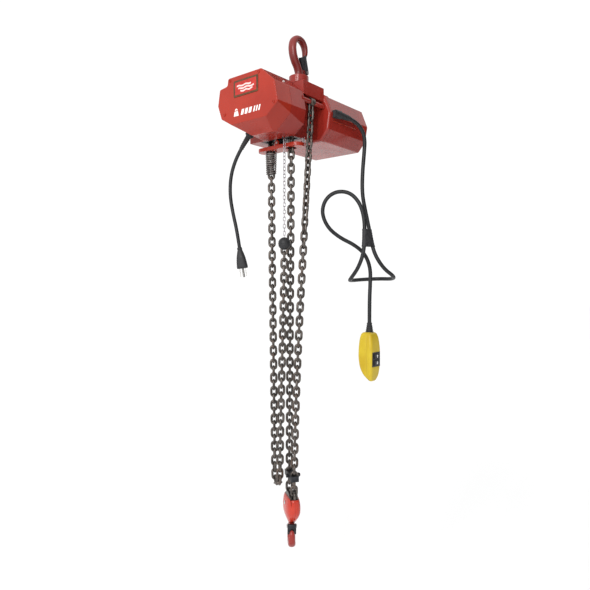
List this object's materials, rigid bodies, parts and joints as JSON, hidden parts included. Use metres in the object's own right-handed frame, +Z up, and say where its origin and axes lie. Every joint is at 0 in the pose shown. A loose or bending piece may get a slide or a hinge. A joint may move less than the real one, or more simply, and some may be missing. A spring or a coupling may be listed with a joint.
{
  "type": "chain hoist",
  "caption": "Electric chain hoist with suspension hook, motor and gear housing, two-fall load chain, lower hook block, slack chain loop, power cord and pendant control.",
  "frame": {"origin": "saddle inside the suspension hook, where the hoist hangs", "axes": "+Z up, Y along the body with the front cover at -Y and the motor at +Y, +X towards the side with the open recess and the pendant cord"},
  "size_m": [0.2616, 0.3647, 1.0935],
  "materials": {
    "red_paint": "glossy red enamel",
    "black_steel": "black oxide",
    "bright_steel": "machined",
    "chain_steel": "hardened, dark",
    "aluminium": "cast",
    "core_steel": "laminated",
    "black_rubber": "matt",
    "brass_blades": "plated",
    "yellow_plastic": "moulded",
    "black_plastic": "moulded",
    "name_plate": "printed plate"
  },
  "bodies": {
    "suspension": {"suspension_hook": "red_paint", "suspension_rivet": "bright_steel", "hook_nut": "bright_steel"},
    "top_latch": {"suspension_latch": "black_steel"},
    "wheel": {"load_wheel": "chain_steel", "wheel_shaft": "bright_steel", "drive_gear": "chain_steel"},
    "intermediate": {"intermediate_gear": "chain_steel", "pinion_shaft": "bright_steel"},
    "rotor": {"motor_shaft": "bright_steel", "rotor_core": "core_steel", "cooling_fan": "aluminium", "brake_disc": "bright_steel"},
    "armature": {"brake_armature": "bright_steel"},
    "rocker": {"limit_rocker": "red_paint", "limit_spring": "bright_steel"},
    "load_block": {"block_shell_near": "red_paint", "block_shell_far": "red_paint", "sheave_pin": "bright_steel", "striker_clamp": "black_steel", "striker_bolt": "black_steel", "load_falls": "chain_steel", "sheave_chain": "chain_steel"},
    "sheave": {"block_sheave": "chain_steel"},
    "bottom_hook": {"lower_hook": "red_paint", "lower_rivet": "bright_steel"},
    "bottom_latch": {"lower_latch": "black_steel"},
    "slack_loop": {"slack_fall": "chain_steel", "slack_return": "chain_steel", "slack_bight": "chain_steel"},
    "up": {"up_button": "black_plastic"},
    "down": {"down_button": "black_plastic"},
    "hoist": {"anchor_pin": "bright_steel", "ball_stop": "black_rubber", "bearings": "bright_steel", "brake_coil": "core_steel", "centre_frame": "red_paint", "chain_guide": "black_steel", "contactor": "black_plastic", "control_cord": "black_rubber", "control_grip": "black_rubber", "cover_screws": "bright_steel", "end_cover": "red_paint", "front_cover": "red_paint", "gear_plate": "aluminium", "keeper_chain": "chain_steel", "limit_switch": "black_plastic", "motor_housing": "red_paint", "nameplate": "name_plate", "pendant_back": "yellow_plastic", "pendant_front": "yellow_plastic", "pendant_relief": "black_rubber", "plug_blades": "brass_blades", "power_cord": "black_rubber", "power_gland": "black_rubber", "power_plug": "black_rubber", "rocker_pin": "bright_steel", "stator": "core_steel", "switch_plate": "black_plastic", "wheel_chain": "chain_steel"}
  },
  "joints": [
    {"name": "hoist_swivel", "type": "hinge", "parent": "suspension", "child": "hoist", "pos_m": [0, 0, -0.1], "axis": [0, 0, 1], "continuous": true},
    {"name": "top_latch_hinge", "type": "hinge", "parent": "suspension", "child": "top_latch", "pos_m": [0, 0.017, -0.063], "axis": [1, 0, 0], "range_deg": [0, 22], "stiffness_Nm_per_rad": 0.05, "springref_deg": -5.73},
    {"name": "wheel_spin", "type": "hinge", "parent": "hoist", "child": "wheel", "pos_m": [-0.05, 0, -0.15], "axis": [0, -1, 0], "range_deg": [-481.5, 722]},
    {"name": "intermediate_spin", "type": "hinge", "parent": "hoist", "child": "intermediate", "pos_m": [-0.014, -0.077, -0.15], "axis": [0, -1, 0], "range_deg": [-3610, 2410]},
    {"name": "rotor_spin", "type": "hinge", "parent": "hoist", "child": "rotor", "pos_m": [-0.05, 0.1, -0.15], "axis": [0, -1, 0], "range_deg": [-12025, 18035]},
    {"name": "brake_release", "type": "slide", "parent": "hoist", "child": "armature", "axis": [0, 1, 0], "range_m": [0, 0.001], "stiffness_N_per_m": 3000},
    {"name": "rocker_tilt", "type": "hinge", "parent": "hoist", "child": "rocker", "pos_m": [-0.05, 0, -0.2095], "axis": [0, 1, 0], "range_deg": [-4, 4], "stiffness_Nm_per_rad": 3},
    {"name": "hook_lift", "type": "slide", "parent": "hoist", "child": "load_block", "axis": [0, 0, 1], "range_m": [-0.122, 0.183], "deforming": ["load_falls"]},
    {"name": "sheave_spin", "type": "hinge", "parent": "load_block", "child": "sheave", "pos_m": [-0.02, 0, -0.984], "axis": [0.5736, 0.8192, 0], "range_deg": [-356, 532]},
    {"name": "bottom_swivel", "type": "hinge", "parent": "load_block", "child": "bottom_hook", "pos_m": [-0.02, 0, -1.02], "axis": [0, 0, 1], "continuous": true},
    {"name": "bottom_latch_hinge", "type": "hinge", "parent": "bottom_hook", "child": "bottom_latch", "pos_m": [-0.01164, -0.00929, -1.031], "axis": [0.7431, 0.6691, 0], "range_deg": [0, 35], "stiffness_Nm_per_rad": 0.03, "springref_deg": -5.73},
    {"name": "slack_travel", "type": "slide", "parent": "hoist", "child": "slack_loop", "axis": [0, 0, 1], "range_m": [-0.1835, 0.1225], "deforming": ["slack_fall", "slack_return"]},
    {"name": "up_press", "type": "slide", "parent": "hoist", "child": "up", "axis": [-1, 0, 0], "range_m": [0, 0.002], "stiffness_N_per_m": 400},
    {"name": "down_press", "type": "slide", "parent": "hoist", "child": "down", "axis": [-1, 0, 0], "range_m": [0, 0.002], "stiffness_N_per_m": 400}
  ],
  "couplings": [
    {"joint": "wheel_spin", "follows": "hook_lift", "rad_per_m": 68.745},
    {"joint": "intermediate_spin", "follows": "hook_lift", "rad_per_m": -343.72},
    {"joint": "rotor_spin", "follows": "hook_lift", "rad_per_m": 1718.6},
    {"joint": "slack_travel", "follows": "hook_lift", "ratio": -1},
    {"joint": "sheave_spin", "follows": "hook_lift", "rad_per_m": 50.545}
  ]
}
